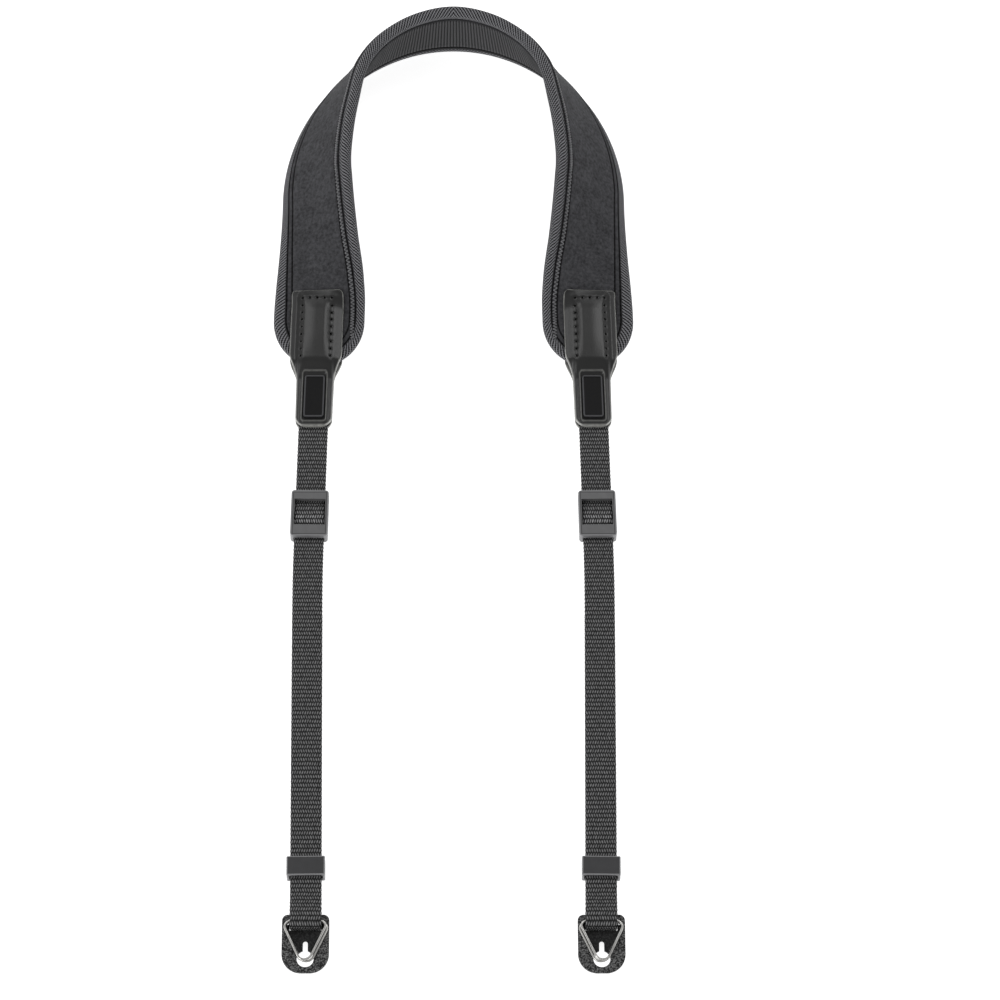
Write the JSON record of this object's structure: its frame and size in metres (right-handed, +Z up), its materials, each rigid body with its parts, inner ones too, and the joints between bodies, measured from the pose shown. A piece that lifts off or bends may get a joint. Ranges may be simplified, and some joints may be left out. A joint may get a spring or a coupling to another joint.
{
  "type": "camera neck strap with padded neck piece",
  "caption": "Camera neck strap: curved padded neck piece, leather tabs, webbing with sliders and keepers, wire rings with leather protectors.",
  "frame": {"origin": "middle of the underside of the bounding box, on the surface that the strap lies on", "axes": "+X across, from the wearer's one strap to the other; +Y from the rings to the top of the pad's arch; +Z up from the surface"},
  "size_m": [0.1246, 0.3574, 0.034],
  "materials": {
    "neoprene": "charcoal smooth knit over foam",
    "ribbed_cloth": "black ribbed cloth, matt",
    "binding_tape": "black twill tape, matt",
    "front_leather_left": "black smooth leather, light sheen",
    "front_leather_right": "black smooth leather, light sheen",
    "back_leather_left": "black leather, matt side down",
    "back_leather_right": "black leather, matt side down",
    "badge_rubber_left": "black moulded rubber, bare",
    "badge_rubber_right": "black moulded rubber, bare",
    "webbing_left": "black ribbed nylon webbing",
    "webbing_right": "black ribbed nylon webbing",
    "slider_plastic_left": "satin dark grey nylon",
    "slider_plastic_right": "satin dark grey nylon",
    "keeper_plastic_left": "satin dark grey nylon",
    "keeper_plastic_right": "satin dark grey nylon",
    "nickel_wire_left": "nickel plated spring wire",
    "nickel_wire_right": "nickel plated spring wire",
    "grained_leather_left": "black grained leather",
    "grained_leather_right": "black grained leather"
  },
  "bodies": {
    "strap": {"pad_body": "neoprene", "pad_lining": "ribbed_cloth", "pad_binding": "binding_tape", "tab_front_left": "front_leather_left", "tab_back_left": "back_leather_left", "badge_left": "badge_rubber_left", "webbing_left": "webbing_left", "slider_left": "slider_plastic_left", "protector_left": "grained_leather_left", "tab_front_right": "front_leather_right", "tab_back_right": "back_leather_right", "badge_right": "badge_rubber_right", "webbing_right": "webbing_right", "slider_right": "slider_plastic_right", "protector_right": "grained_leather_right"},
    "keeper_left": {"keeper_left": "keeper_plastic_left"},
    "keeper_right": {"keeper_right": "keeper_plastic_right"},
    "ring_left": {"ring_left": "nickel_wire_left"},
    "ring_right": {"ring_right": "nickel_wire_right"}
  },
  "joints": [
    {"name": "keeper_slide_left", "type": "slide", "parent": "strap", "child": "keeper_left", "axis": [-0.0143, 0.9999, 0], "range_m": [-0.004, 0.085]},
    {"name": "ring_swing_left", "type": "hinge", "parent": "strap", "child": "ring_left", "pos_m": [-0.04709, -0.16224, 0.00382], "axis": [-1, 0, 0], "range_deg": [0, 115]},
    {"name": "keeper_slide_right", "type": "slide", "parent": "strap", "child": "keeper_right", "axis": [0.0143, 0.9999, 0], "range_m": [-0.004, 0.085]},
    {"name": "ring_swing_right", "type": "hinge", "parent": "strap", "child": "ring_right", "pos_m": [0.04709, -0.16224, 0.00382], "axis": [-1, 0, 0], "range_deg": [0, 115]}
  ]
}
